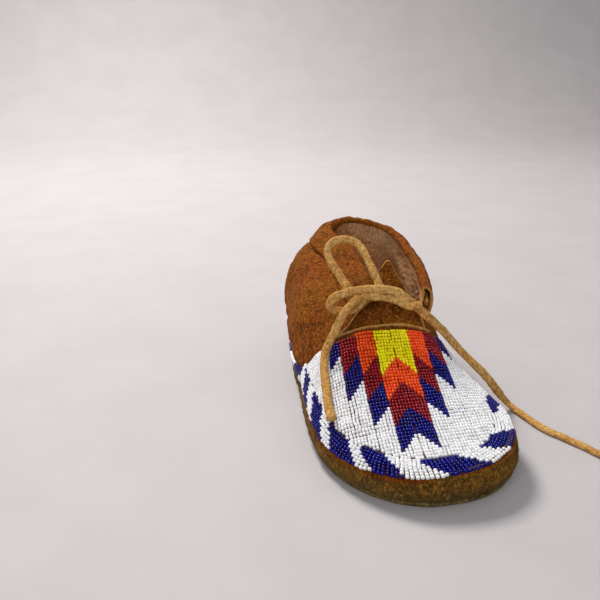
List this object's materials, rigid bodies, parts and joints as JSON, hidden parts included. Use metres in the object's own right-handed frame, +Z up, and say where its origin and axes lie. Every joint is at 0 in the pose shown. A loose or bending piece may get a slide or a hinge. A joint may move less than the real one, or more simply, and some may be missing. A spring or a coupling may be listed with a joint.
{
  "type": "beaded moccasin",
  "caption": "Low-cut soft suede moccasin with a rawhide sole, drawstring cuff, hinged tongue and beaded vamp and side lane.",
  "frame": {"origin": "middle of the footprint on the sole's underside, without the free lace", "axes": "+Z up, +Y towards the heel, -Y towards the toe, +X towards the big toe side"},
  "size_m": [0.1714, 0.2171, 0.0919],
  "materials": {
    "rawhide": "matt, scuffed",
    "welt_suede": "napped, soiled",
    "suede": "napped",
    "lace_hide": "napped",
    "beads_yellow": "opaque gloss",
    "beads_orange": "opaque gloss",
    "beads_red": "opaque gloss",
    "beads_navy": "opaque gloss",
    "beads_white": "opaque gloss",
    "thread": "waxed"
  },
  "bodies": {
    "shoe": {"sole": "rawhide", "welt_front": "welt_suede", "welt_rear": "welt_suede", "vamp": "suede", "quarter_left": "suede", "quarter_right": "suede", "back_seam": "suede", "cuff_left": "suede", "cuff_right": "suede", "drawstring": "lace_hide", "bow_knot": "lace_hide", "lace_end_short": "lace_hide", "lace_end_long": "lace_hide", "vamp_beads_yellow": "beads_yellow", "vamp_beads_orange": "beads_orange", "vamp_beads_red": "beads_red", "vamp_beads_navy": "beads_navy", "vamp_beads_white": "beads_white", "lane_beads_navy": "beads_navy", "lane_beads_white": "beads_white", "tongue_stitches": "thread", "cuff_stitches": "thread", "back_stitches": "thread", "sole_stitches": "thread"},
    "tongue": {"tongue": "suede"},
    "bow_loop": {"bow_loop": "lace_hide"}
  },
  "joints": [
    {"name": "tongue_fold", "type": "hinge", "parent": "shoe", "child": "tongue", "pos_m": [0, -0.0145, 0.0445], "axis": [-1, 0, 0], "range_deg": [0, 10]},
    {"name": "bow_loop_lift", "type": "hinge", "parent": "shoe", "child": "bow_loop", "pos_m": [-0.01, -0.008, 0.0665], "axis": [1, 0, 0], "range_deg": [0, 25]}
  ]
}
